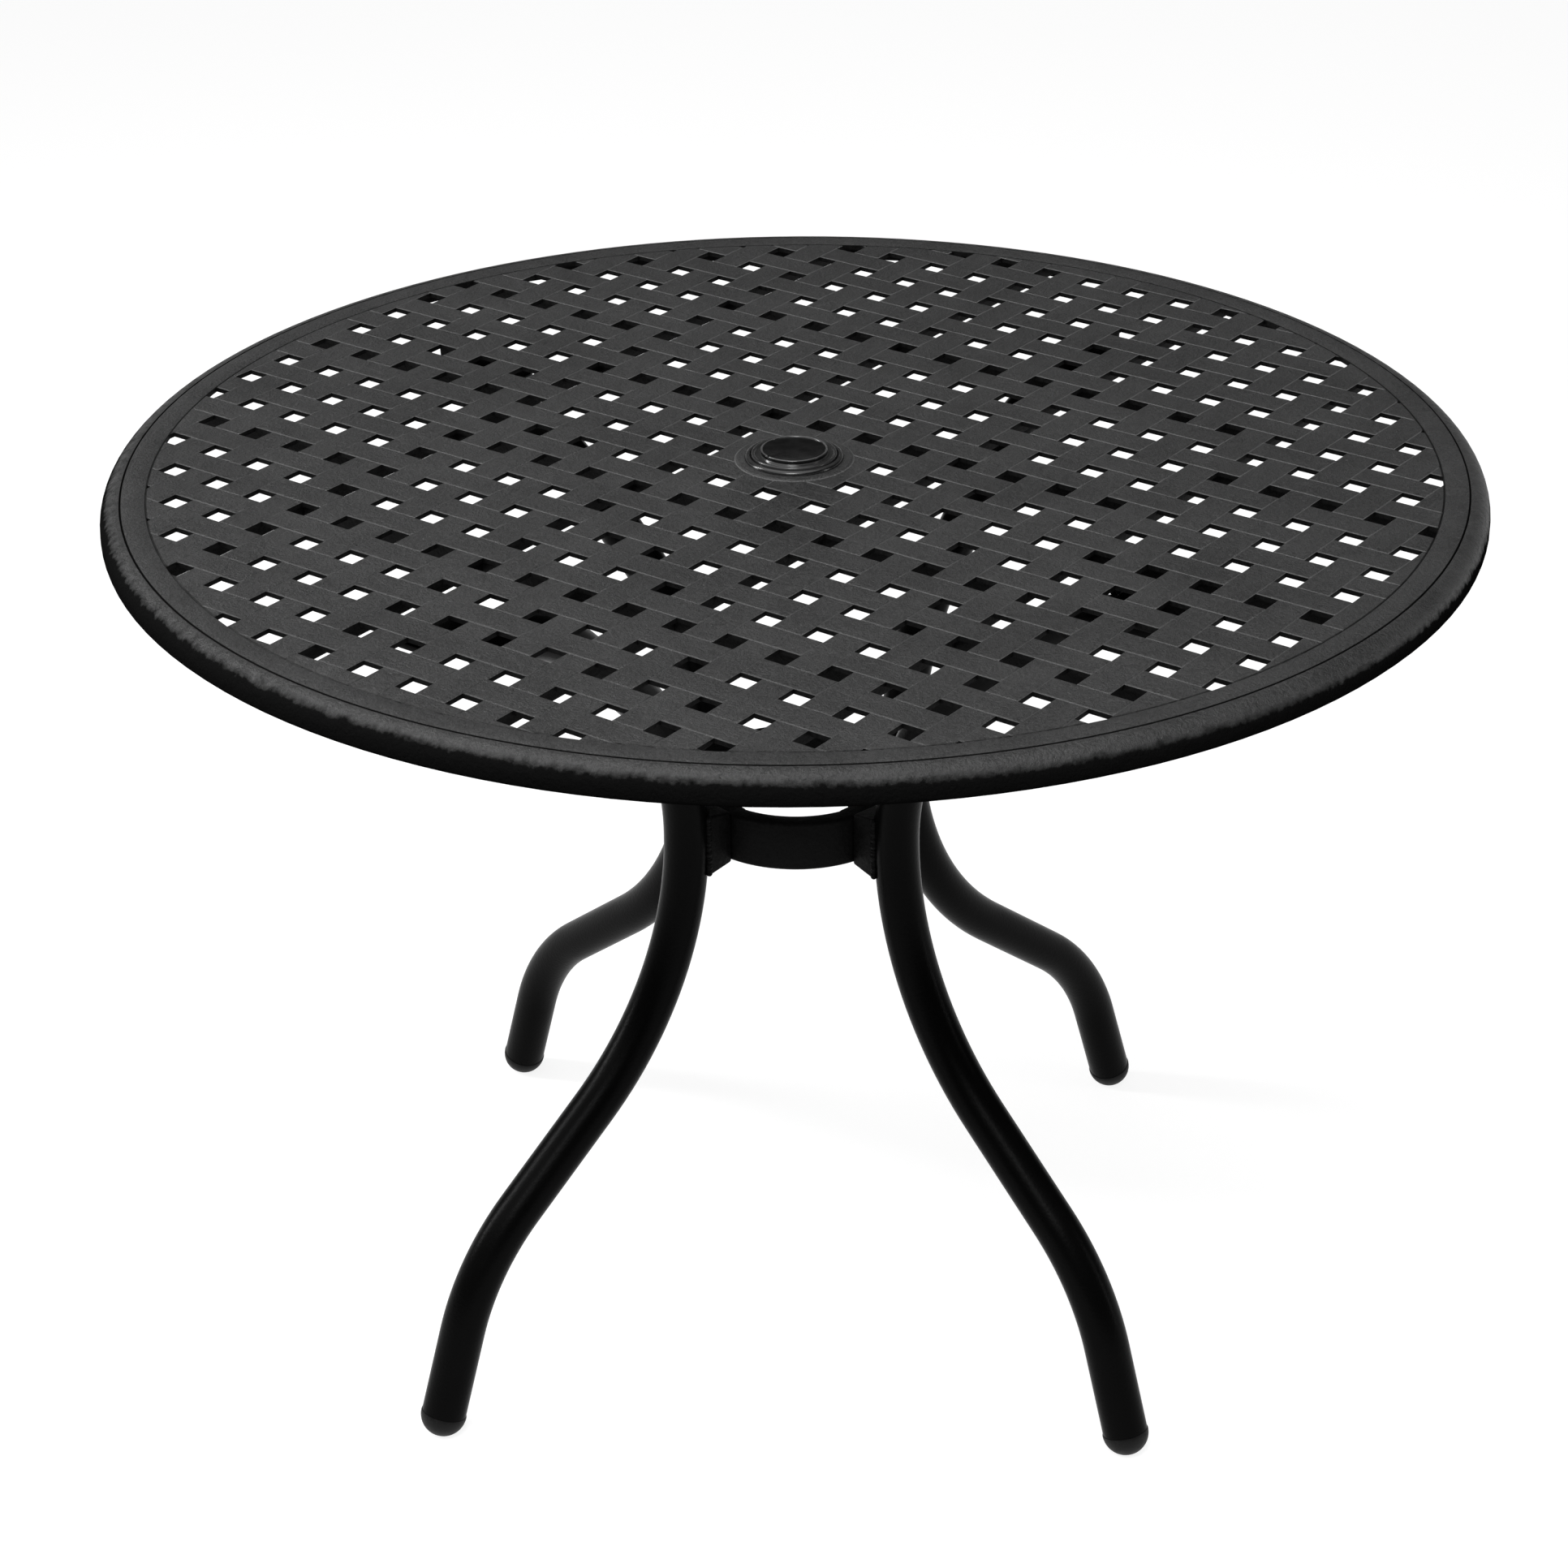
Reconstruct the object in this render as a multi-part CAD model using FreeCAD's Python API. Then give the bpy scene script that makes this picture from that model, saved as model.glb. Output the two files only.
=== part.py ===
import FreeCAD, Part
import os
from math import cos, hypot, pi, radians, sin, sqrt

# Round patio table with a hole for an umbrella pole.
# The top is one casting that looks like a basket weave. Four bent tube legs carry it, spread
# at the top and at the foot, and a cast hoop ties them at the waist. Millimetres, Z up,
# origin on the floor under the hub, front towards -Y.

# Overall
table_height = 737.0
top_diameter = 1067.0

# Casting of the top
rim_depth = 24.0
rim_roll = 15.5
rim_wall = 5.0
rim_foot_round = 4.0
margin_width = 20.0
groove_width = 1.6
groove_depth = 1.0
plate_thickness = 4.0
weave_pitch = 44.8
weave_hole = 18.4
weave_turn = -33.0
least_hole = 4.0
rib_thickness = 5.0
rib_depth = 19.0
middle_ribs = (2, 6)
side_ribs = (0, 4)
boss_width = 19.0

# Hub of the top
hub_hole = 51.0
hub_pad_diameter = 93.0
hub_pad_rise = 1.2
hub_boss_wall = 7.0

# Plastic ring in the hub
pole_bore = 40.0
ring_sleeve_length = 24.0
ring_flange_diameter = 77.5
ring_flange_edge = 2.4
ring_step_width = 6.0
ring_step_rise = 1.4
ring_collar_width = 4.6
ring_socket_depth = 11.5

# Plastic plug in the ring
cap_diameter = 52.4
cap_thickness = 3.0
cap_edge_round = 1.2
cap_lip_width = 2.4
cap_lip_rise = 0.6
cap_skirt_diameter = 44.0
cap_skirt_depth = 10.0
cap_skirt_wall = 2.0

# Legs: round tube. Below the waist it is bent in the leg's own upright plane, above the waist
# in a plane turned a little about the upright line through the waist.
leg_azimuth_first = -135.0
tube_diameter = 36.0
tube_wall = 2.0
waist_radius = 118.0
waist_level = 450.0
shoulder_bend = 208.0
shoulder_angle = 45.3
shoulder_turn = 10.5
neck_bend = 138.0
neck_flat = 1.0
knee_bend = 270.0
knee_angle = 52.0
shin_length = 100.0
ankle_bend = 190.0
foot_lean = 18.5

# Plates on the leg tops, each under one strip of the weave
leg_plate_thickness = 5.0
leg_plate_width = 50.0
leg_plate_length = 80.0
leg_plate_reach = 396.0
leg_plate_strip = -1
leg_plate_corner = 12.0
plate_bolt_edge = 10.5

# Hoop at the waist and its lugs
brace_level = 441.0
hoop_height = 42.0
hoop_wall = 14.0
hoop_edge_round = 2.5
hoop_pad_depth = 1.0
lug_width = 36.0
lug_height = 53.0
lug_length = 14.0
lug_ear = 5.0
lug_bevel = 4.0
seat_margin = 0.6

# Bolts, all of one size
bolt_diameter = 8.0
bolt_head_width = 13.0
bolt_head_height = 5.3
bolt_flange_diameter = 17.0
bolt_flange_height = 1.4
bolt_grip = 11.0
brace_bolt_spacing = 24.0

# Domed glides in the leg ends
glide_dome_radius = 18.6
glide_sole_cut = 1.3
glide_plug_length = 18.0

# Gap between pieces that fit into each other
fit_gap = 0.3

# Sizes that follow from the ones above
top_radius = top_diameter / 2
roll_start = top_radius - rim_roll
field_radius = roll_start - margin_width
underside = table_height - rib_depth
hub_top = table_height + hub_pad_rise
tube_radius = tube_diameter / 2
leg_end = underside - leg_plate_thickness
neck_level = leg_end + neck_flat - tube_radius
glide_centre = glide_dome_radius - glide_sole_cut
hoop_flat = waist_radius - tube_radius - lug_length
hoop_radius = hypot(hoop_flat, lug_width / 2 + seat_margin)
hoop_bore = hoop_radius - hoop_wall
hoop_pad = sqrt(hoop_bore ** 2 - (lug_width / 2) ** 2) - hoop_pad_depth
ring_sleeve_diameter = hub_hole - 2 * fit_gap
ring_shoulder = hub_top + ring_flange_edge + ring_step_rise
cap_seat = ring_shoulder + ring_step_rise / 2
leg_names = ("front_left", "front_right", "rear_right", "rear_left")


def vec(x, y, z):
    return FreeCAD.Vector(x, y, z)


def turned(shape, angle):
    copy = shape.copy()
    copy.rotate(vec(0, 0, 0), vec(0, 0, 1), angle)
    return copy


def closed_face(points):
    """Face in the XZ plane through (radius, height) points."""
    corners = [vec(x, 0, z) for x, z in points]
    return Part.Face(Part.makePolygon(corners + corners[:1]))


def revolved(face):
    return face.revolve(vec(0, 0, 0), vec(0, 0, 1), 360)


def arc(start, middle, end):
    return Part.Arc(vec(*start), vec(*middle), vec(*end)).toShape()


def line(start, end):
    return Part.makeLine(vec(*start), vec(*end))


def hexagon(width):
    """Hexagon in the XY plane, measured across its flats."""
    radius = width / sqrt(3)
    corners = [vec(radius * cos(k * pi / 3), radius * sin(k * pi / 3), 0) for k in range(7)]
    return Part.Face(Part.makePolygon(corners))


# Woven plate

def hole_wire(i, j):
    """Outline of the hole right and above crossing (i, j), clipped by the edge of the field."""
    half = weave_hole / 2
    x = (i + 0.5) * weave_pitch
    y = (j + 0.5) * weave_pitch
    far_corner = hypot(abs(x) + half, abs(y) + half)
    corners = [(x - half, y - half), (x + half, y - half), (x + half, y + half), (x - half, y + half)]
    points = [vec(cx, cy, 0) for cx, cy in corners]
    square = Part.makePolygon(points + points[:1])
    if far_corner <= field_radius:
        return square
    disc = Part.Face(Part.Wire(Part.makeCircle(field_radius)))
    part = Part.Face(square).common(disc)
    if part.Area < least_hole ** 2 or not part.Faces:
        return None
    return part.Faces[0].OuterWire


def weave_holes():
    count = int(field_radius / weave_pitch) + 1
    wires = []
    for i in range(-count, count):
        for j in range(-count, count):
            centre = hypot(i + 0.5, j + 0.5) * weave_pitch
            if centre < hub_pad_diameter / 2 or centre > field_radius + weave_hole:
                continue
            wire = hole_wire(i, j)
            if wire is not None:
                wires.append(wire)
    return wires


def woven_plate():
    edge = Part.Wire(Part.makeCircle(roll_start))
    face = Part.Face([edge] + weave_holes(), "Part::FaceMakerBullseye")
    face.translate(vec(0, 0, table_height - plate_thickness))
    return face.extrude(vec(0, 0, plate_thickness))


def rim():
    """Rolled edge of the casting, open underneath."""
    top = table_height
    foot = top - rim_depth
    inner = top_radius - rim_wall
    hidden = roll_start
    slant = sin(radians(45))
    centre = top - rim_roll
    small = rim_roll - rim_wall
    edges = [
        arc((roll_start, 0, top),
            (roll_start + rim_roll * slant, 0, centre + rim_roll * slant),
            (top_radius, 0, centre)),
        line((top_radius, 0, centre), (top_radius, 0, foot + rim_foot_round)),
        arc((top_radius, 0, foot + rim_foot_round),
            (top_radius - rim_foot_round * (1 - slant), 0, foot + rim_foot_round * (1 - slant)),
            (top_radius - rim_foot_round, 0, foot)),
        line((top_radius - rim_foot_round, 0, foot), (inner, 0, foot)),
        line((inner, 0, foot), (inner, 0, centre)),
        arc((inner, 0, centre),
            (roll_start + small * slant, 0, centre + small * slant),
            (hidden, 0, centre + small)),
        line((hidden, 0, centre + small), (hidden, 0, top)),
    ]
    return revolved(Part.Face(Part.Wire(edges)))


def rim_groove():
    """Fine line between the flat margin and the roll."""
    inner = roll_start - groove_width
    middle = roll_start - groove_width / 2
    return revolved(closed_face([
        (inner, table_height), (roll_start, table_height),
        (middle, table_height - groove_depth)]))


def rib(x0, x1, y0, y1):
    depth = rib_depth - plate_thickness
    return Part.makeBox(x1 - x0, y1 - y0, depth, vec(x0, y0, underside))


def ribs():
    """Stiffening ribs under the strips, in weave coordinates."""
    half = rib_thickness / 2
    reach = top_radius - rim_wall / 2
    main = max(middle_ribs) * weave_pitch
    bars = []
    for side in (-1, 1):
        for row in middle_ribs:
            place = side * row * weave_pitch
            length = sqrt(reach ** 2 - place ** 2)
            bars.append(rib(place - half, place + half, -length, length))
            bars.append(rib(-main, main, place - half, place + half))
        for row in side_ribs:
            for place in {row * weave_pitch, -row * weave_pitch}:
                length = sqrt(reach ** 2 - place ** 2)
                inner = min(side * main, side * length)
                outer = max(side * main, side * length)
                bars.append(rib(inner, outer, place - half, place + half))
    block = bars[0].multiFuse(bars[1:])
    inside = Part.makeCylinder(top_radius - rim_wall / 2, rib_depth, vec(0, 0, underside))
    return block.common(inside)


def bolt_spots():
    """Places of the first leg's two top bolts, in weave coordinates."""
    place = leg_plate_strip * weave_pitch
    outer = plate_bolt_edge - leg_plate_reach
    return [(place, outer), (place, outer + weave_pitch / 2)]


def boss():
    """Long boss that takes the two bolts of the first leg, in weave coordinates."""
    half = boss_width / 2
    (x, outer), (_, inner) = bolt_spots()
    return Part.makeBox(boss_width, inner - outer + boss_width, rib_depth - plate_thickness,
                        vec(x - half, outer - half, underside))


def hub_casting():
    """Pad on the face and sleeve boss under it."""
    pad = hub_pad_diameter / 2
    boss_radius = hub_hole / 2 + hub_boss_wall
    outline = [
        (0, underside), (boss_radius, underside), (boss_radius, table_height - plate_thickness),
        (pad, table_height - plate_thickness), (pad, table_height),
        (pad - hub_pad_rise, hub_top), (0, hub_top)]
    return revolved(closed_face(outline))


def table_top():
    pieces = [rim(), hub_casting(), turned(ribs(), weave_turn)]
    holes = [Part.makeCylinder(hub_hole / 2, 2 * table_height, vec(0, 0, 0))]
    radius = bolt_diameter / 2 + fit_gap
    for k in range(4):
        pieces.append(turned(boss(), weave_turn + 90 * k))
        for x, y in bolt_spots():
            hole = Part.makeCylinder(radius, bolt_grip + 1.0, vec(x, y, underside))
            holes.append(turned(hole, weave_turn + 90 * k))
    casting = turned(woven_plate(), weave_turn).multiFuse(pieces)
    casting = casting.cut(Part.Compound(holes)).cut(rim_groove())
    return casting.removeSplitter()


# Ring and plug in the hub

def umbrella_ring():
    sleeve = ring_sleeve_diameter / 2
    socket = cap_skirt_diameter / 2 + fit_gap
    bore = pole_bore / 2
    foot = hub_top - ring_sleeve_length
    edge = ring_flange_diameter / 2
    step = edge - ring_step_width
    collar = cap_diameter / 2 + ring_collar_width
    flange = hub_top + ring_flange_edge
    outline = [
        (bore, foot), (sleeve - 1.0, foot), (sleeve, foot + 2.0), (sleeve, hub_top),
        (edge, hub_top), (edge, hub_top + ring_flange_edge / 2), (edge - 1.6, flange),
        (step, flange), (step - ring_step_rise, ring_shoulder), (collar, ring_shoulder),
        (collar - 1.0, cap_seat), (socket, cap_seat), (socket, cap_seat - ring_socket_depth),
        (bore, cap_seat - ring_socket_depth)]
    return revolved(closed_face(outline))


def umbrella_cap():
    skirt = cap_skirt_diameter / 2
    inner = skirt - cap_skirt_wall
    edge = cap_diameter / 2
    top = cap_seat + cap_thickness
    foot = cap_seat - cap_skirt_depth
    lip = edge - cap_edge_round - cap_lip_width
    outline = [
        (0, cap_seat), (inner, cap_seat), (inner, foot), (skirt, foot), (skirt, cap_seat),
        (edge, cap_seat), (edge, top - cap_edge_round), (edge - cap_edge_round, top),
        (lip, top), (lip - cap_lip_rise, top - cap_lip_rise), (0, top - cap_lip_rise)]
    return revolved(closed_face(outline))


# Legs

def leg_corners():
    """Ends of the runs and bends below the waist, as (radius, height)."""
    knee = radians(knee_angle)
    lean = radians(foot_lean)
    shin_top = (waist_radius + knee_bend * (1 - cos(knee)), waist_level - knee_bend * sin(knee))
    shin_foot = (shin_top[0] + shin_length * sin(knee), shin_top[1] - shin_length * cos(knee))
    ankle = (shin_foot[0] + ankle_bend * (cos(lean) - cos(knee)),
             shin_foot[1] - ankle_bend * (sin(knee) - sin(lean)))
    foot = (ankle[0] + (ankle[1] - glide_centre) * sin(lean) / cos(lean), glide_centre)
    return shin_top, shin_foot, ankle, foot


def neck_point(reach, height):
    """Point above the waist, at a distance from the upright line through the waist."""
    turn = radians(shoulder_turn)
    return waist_radius + reach * cos(turn), reach * sin(turn), height


def neck_corners():
    """Ends of the slope above the waist and of the tube's middle line, as (reach, height)."""
    lean = radians(shoulder_angle)
    low = (shoulder_bend * (1 - cos(lean)), waist_level + shoulder_bend * sin(lean))
    rise = neck_level - low[1] - neck_bend * (1 - sin(lean))
    high = (low[0] + rise * sin(lean) / cos(lean), low[1] + rise)
    end = (high[0] + neck_bend * cos(lean), neck_level)
    return low, high, end


def leg_path():
    """Middle line of the tube, from the glide up to its level end under the top plate."""
    knee = radians(knee_angle)
    tilt = radians(foot_lean)
    lean = radians(shoulder_angle)
    shin_top, shin_foot, ankle, foot = leg_corners()
    knee_middle = (waist_radius + knee_bend * (1 - cos(knee / 2)), 0,
                   waist_level - knee_bend * sin(knee / 2))
    half = (knee + tilt) / 2
    ankle_middle = (shin_foot[0] + ankle_bend * (cos(half) - cos(knee)), 0,
                    shin_foot[1] - ankle_bend * (sin(knee) - sin(half)))
    waist = (waist_radius, 0, waist_level)
    shin_high = (shin_top[0], 0, shin_top[1])
    shin_low = (shin_foot[0], 0, shin_foot[1])
    ankle_low = (ankle[0], 0, ankle[1])
    low, high, end = neck_corners()
    shoulder = neck_point(shoulder_bend * (1 - cos(lean / 2)),
                          waist_level + shoulder_bend * sin(lean / 2))
    half = (lean + pi / 2) / 2
    neck = neck_point(high[0] + neck_bend * (cos(lean) - cos(half)),
                      high[1] + neck_bend * (sin(half) - sin(lean)))
    edges = [line((foot[0], 0, foot[1]), ankle_low), arc(ankle_low, ankle_middle, shin_low),
             line(shin_low, shin_high), arc(shin_high, knee_middle, waist),
             arc(waist, shoulder, neck_point(*low)), line(neck_point(*low), neck_point(*high)),
             arc(neck_point(*high), neck, neck_point(*end))]
    return Part.Wire(edges)


def swept(path, radius):
    start = path.Edges[0]
    point = start.Vertexes[0].Point
    direction = start.Vertexes[1].Point - point
    profile = Part.Wire(Part.makeCircle(radius, point, direction))
    return path.makePipeShell([profile], True, False)


def leg():
    """Tube with a closed round top end, milled flat where the plate is welded on."""
    path = leg_path()
    end = vec(*neck_point(*neck_corners()[2]))
    bore = tube_radius - tube_wall
    outside = swept(path, tube_radius).fuse(Part.makeSphere(tube_radius, end))
    inside = swept(path, bore).fuse(Part.makeSphere(bore, end))
    above = Part.makeBox(table_height, table_height, tube_diameter, vec(0, -waist_radius, leg_end))
    return outside.cut(inside).cut(above)


def foot_glide():
    """Dome that stands on the floor, with a plug that fills the end of the tube."""
    foot = leg_corners()[3]
    plug = tube_radius - tube_wall - fit_gap
    dome = Part.makeSphere(glide_dome_radius, vec(0, 0, 0), vec(0, 0, 1), -90, 0, 360)
    stem = Part.makeCylinder(plug, glide_plug_length)
    glide = dome.fuse(stem)
    glide.rotate(vec(0, 0, 0), vec(0, 1, 0), -foot_lean)
    glide.translate(vec(foot[0], 0, foot[1]))
    below = Part.makeBox(200, 200, 100, vec(foot[0] - 100, -100, -100))
    return glide.cut(below)


def leg_plate():
    """Flat plate on the first leg's top, in weave coordinates."""
    side = leg_plate_strip * weave_pitch - leg_plate_width / 2
    block = Part.makeBox(leg_plate_width, leg_plate_length, leg_plate_thickness,
                         vec(side, -leg_plate_reach, leg_end))
    uprights = [edge for edge in block.Edges if abs(edge.tangentAt(0).z) > 0.9]
    block = block.makeFillet(leg_plate_corner, uprights)
    radius = bolt_diameter / 2 + fit_gap
    for bx, by in bolt_spots():
        block = block.cut(Part.makeCylinder(radius, leg_plate_thickness, vec(bx, by, leg_end)))
    return block


# Bolts

def bolt(shank):
    """Flanged hexagon bolt that points along +Z, with the face of its flange at the origin."""
    head = hexagon(bolt_head_width).extrude(vec(0, 0, -bolt_head_height))
    flange = Part.makeCylinder(bolt_flange_diameter / 2, bolt_flange_height,
                               vec(0, 0, -bolt_flange_height))
    return head.multiFuse([flange, Part.makeCylinder(bolt_diameter / 2, shank)])


def plate_bolts():
    group = []
    for k in range(4):
        for x, y in bolt_spots():
            piece = bolt(leg_plate_thickness + bolt_grip)
            piece.translate(vec(x, y, leg_end))
            group.append(turned(piece, weave_turn + 90 * k))
    return Part.Compound(group)


def brace_bolt_levels():
    return (brace_level - brace_bolt_spacing / 2, brace_level + brace_bolt_spacing / 2)


def brace_bolts():
    group = []
    for k in range(4):
        for level in brace_bolt_levels():
            piece = bolt(hoop_flat - hoop_pad + bolt_grip)
            piece.rotate(vec(0, 0, 0), vec(0, 1, 0), 90)
            piece.translate(vec(hoop_pad, 0, level))
            group.append(turned(piece, leg_azimuth_first + 90 * k))
    return Part.Compound(group)


# Hoop and lugs

def brace_hole(start, length, level):
    radius = bolt_diameter / 2 + fit_gap
    return Part.makeCylinder(radius, length, vec(start, 0, level), vec(1, 0, 0))


def brace_ring():
    """Cast hoop with a flat outside for each lug and a flat pad inside for its bolt heads."""
    low = brace_level - hoop_height / 2
    high = brace_level + hoop_height / 2
    soft = hoop_edge_round
    hoop = revolved(closed_face([
        (hoop_bore, low), (hoop_radius - soft, low), (hoop_radius, low + soft),
        (hoop_radius, high - soft), (hoop_radius - soft, high), (hoop_bore, high)]))
    pads = []
    cuts = []
    for k in range(4):
        angle = leg_azimuth_first + 90 * k
        pad = Part.makeBox(hoop_flat - hoop_pad, lug_width, hoop_height,
                           vec(hoop_pad, -lug_width / 2, low))
        pads.append(turned(pad, angle))
        flat = Part.makeBox(hoop_wall, 2 * lug_width, 2 * hoop_height,
                            vec(hoop_flat, -lug_width, low - hoop_height / 2))
        cuts.append(turned(flat, angle))
        for level in brace_bolt_levels():
            cuts.append(turned(brace_hole(hoop_pad - 1, hoop_wall * 2, level), angle))
    return hoop.multiFuse(pads).cut(Part.Compound(cuts)).removeSplitter()


def brace_lug():
    """Saddle block between the hoop's flat and the tube, for the leg along +X."""
    low = brace_level - lug_height / 2
    high = brace_level + lug_height / 2
    outer = hoop_flat + lug_length + lug_ear
    side = closed_face([
        (hoop_flat, low + lug_bevel), (outer, low), (outer, high - lug_bevel / 2),
        (outer - lug_bevel, high), (hoop_flat + lug_bevel, high), (hoop_flat, high - lug_bevel)])
    side.translate(vec(0, -lug_width / 2, 0))
    block = side.extrude(vec(0, lug_width, 0))
    saddle = Part.makeCylinder(tube_radius + fit_gap, 2 * lug_height,
                               vec(waist_radius, 0, low - lug_height / 2))
    block = block.cut(saddle)
    for level in brace_bolt_levels():
        block = block.cut(brace_hole(hoop_flat, bolt_grip + 1.0, level))
    return block


def save(shape, name):
    shape.exportStep("parts/" + name + ".step")


def build():
    os.makedirs("parts", exist_ok=True)
    save(table_top(), "table_top")
    save(umbrella_ring(), "umbrella_ring")
    save(umbrella_cap(), "umbrella_cap")
    save(brace_ring(), "brace_ring")
    save(plate_bolts(), "plate_bolts")
    save(brace_bolts(), "brace_bolts")
    tube = leg()
    glide = foot_glide()
    lug = brace_lug()
    plate = leg_plate()
    for k, name in enumerate(leg_names):
        angle = leg_azimuth_first + 90 * k
        save(turned(tube, angle), "leg_" + name)
        save(turned(glide, angle), "foot_glide_" + name)
        save(turned(lug, angle), "brace_lug_" + name)
        save(turned(plate, weave_turn + 90 * k), "leg_plate_" + name)


build()
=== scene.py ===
from math import asin, cos, floor, hypot, pi, radians, sin, sqrt

import bmesh
import bpy
from mathutils import Matrix, Vector


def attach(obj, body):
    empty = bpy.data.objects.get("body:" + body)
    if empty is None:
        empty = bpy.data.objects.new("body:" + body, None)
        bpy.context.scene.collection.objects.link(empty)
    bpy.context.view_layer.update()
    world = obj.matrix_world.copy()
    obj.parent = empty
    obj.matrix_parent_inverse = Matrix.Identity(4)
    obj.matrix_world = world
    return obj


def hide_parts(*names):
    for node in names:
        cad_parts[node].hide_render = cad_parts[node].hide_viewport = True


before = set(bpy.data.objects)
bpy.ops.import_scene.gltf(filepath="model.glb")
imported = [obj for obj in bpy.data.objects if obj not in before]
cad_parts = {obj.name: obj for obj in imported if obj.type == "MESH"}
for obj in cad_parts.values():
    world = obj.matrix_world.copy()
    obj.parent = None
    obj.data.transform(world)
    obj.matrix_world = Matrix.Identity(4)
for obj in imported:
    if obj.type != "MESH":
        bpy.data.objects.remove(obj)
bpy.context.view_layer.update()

# Woven field of the top. It is the middle of one aluminium casting that imitates a basket
# weave: flat strips, a fine groove on both sides of the strip that passes over at each
# crossing, and a square hole between every four crossings.
face_level = 0.737
plate = 0.0042
pitch = 0.0448
hole = 0.0186
half_strip = (pitch - hole) / 2
groove_half = 0.0010
groove_depth = 0.0006
weave_turn = radians(-33.0)
field_radius = 0.498
pad_radius = 0.0465
pad_overlap = 0.001
round_steps = 144
least_hole = 0.0035


class Value:
    """Socket of a finish that takes part in sums; each sign adds its Math node."""

    def __init__(self, finish, socket):
        self.finish = finish
        self.socket = socket

    def __add__(self, other):
        return self.finish.maths("ADD", self, other)

    def __radd__(self, other):
        return self.finish.maths("ADD", other, self)

    def __sub__(self, other):
        return self.finish.maths("SUBTRACT", self, other)

    def __rsub__(self, other):
        return self.finish.maths("SUBTRACT", other, self)

    def __mul__(self, other):
        return self.finish.maths("MULTIPLY", self, other)

    def __rmul__(self, other):
        return self.finish.maths("MULTIPLY", other, self)


class Finish:
    """Nodes of a material or of the world."""

    def __init__(self, owner):
        self.owner = owner
        owner.use_nodes = True
        self.tree = owner.node_tree
        self.tree.nodes.clear()
        self.place = self.node("ShaderNodeTexCoord", output="Object")

    def node(self, kind, settings=None, values=None, output=0):
        """Adds a node: its settings first, then the values or links of its sockets."""
        node = self.tree.nodes.new(kind)
        for key, setting in (settings or {}).items():
            if key == "stops":
                ramp = node.color_ramp.elements
                while len(ramp) < len(setting):
                    ramp.new(0.5)
                for stop, (place, shade) in zip(ramp, setting):
                    stop.position = place
                    stop.color = (shade, shade, shade, 1.0)
            else:
                setattr(node, key, setting)
        for key, value in (values or {}).items():
            if isinstance(value, Value):
                self.tree.links.new(value.socket, node.inputs[key])
            else:
                node.inputs[key].default_value = value
        return Value(self, node.outputs[output]) if node.outputs else None

    def maths(self, operation, first, second):
        return self.node("ShaderNodeMath", {"operation": operation}, {0: first, 1: second})

    def coordinate(self, axis):
        """Object coordinate along the axis 0, 1 or 2."""
        return self.node("ShaderNodeSeparateXYZ", None, {"Vector": self.place}, axis)

    def reach(self):
        """Distance from the upright axis of the table."""
        flat = self.node("ShaderNodeVectorMath", {"operation": "MULTIPLY"},
                         {0: self.place, 1: (1, 1, 0)})
        return self.node("ShaderNodeVectorMath", {"operation": "LENGTH"}, {0: flat}, 1)

    def noise(self, scale, detail=2.0, roughness=0.5):
        return self.node("ShaderNodeTexNoise", None, {
            "Vector": self.place, "Scale": scale, "Detail": detail, "Roughness": roughness})

    def ramp(self, value, *stops):
        return self.node("ShaderNodeValToRGB", {"stops": stops}, {"Fac": value})

    def blend(self, share, first, second):
        """Colour between two colours."""
        return self.node("ShaderNodeMix", {"data_type": "RGBA"},
                         {0: share, 6: first, 7: second}, 2)

    def bump(self, height, depth, under=None):
        values = {"Height": height, "Distance": depth, "Strength": 1.0}
        if under:
            values["Normal"] = under
        return self.node("ShaderNodeBump", None, values)

    def shader(self, values):
        shader = self.node("ShaderNodeBsdfPrincipled", None, values)
        self.node("ShaderNodeOutputMaterial", None, {"Surface": shader})
        return self.owner


def grey(level):
    return (level, level, level, 1.0)


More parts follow.
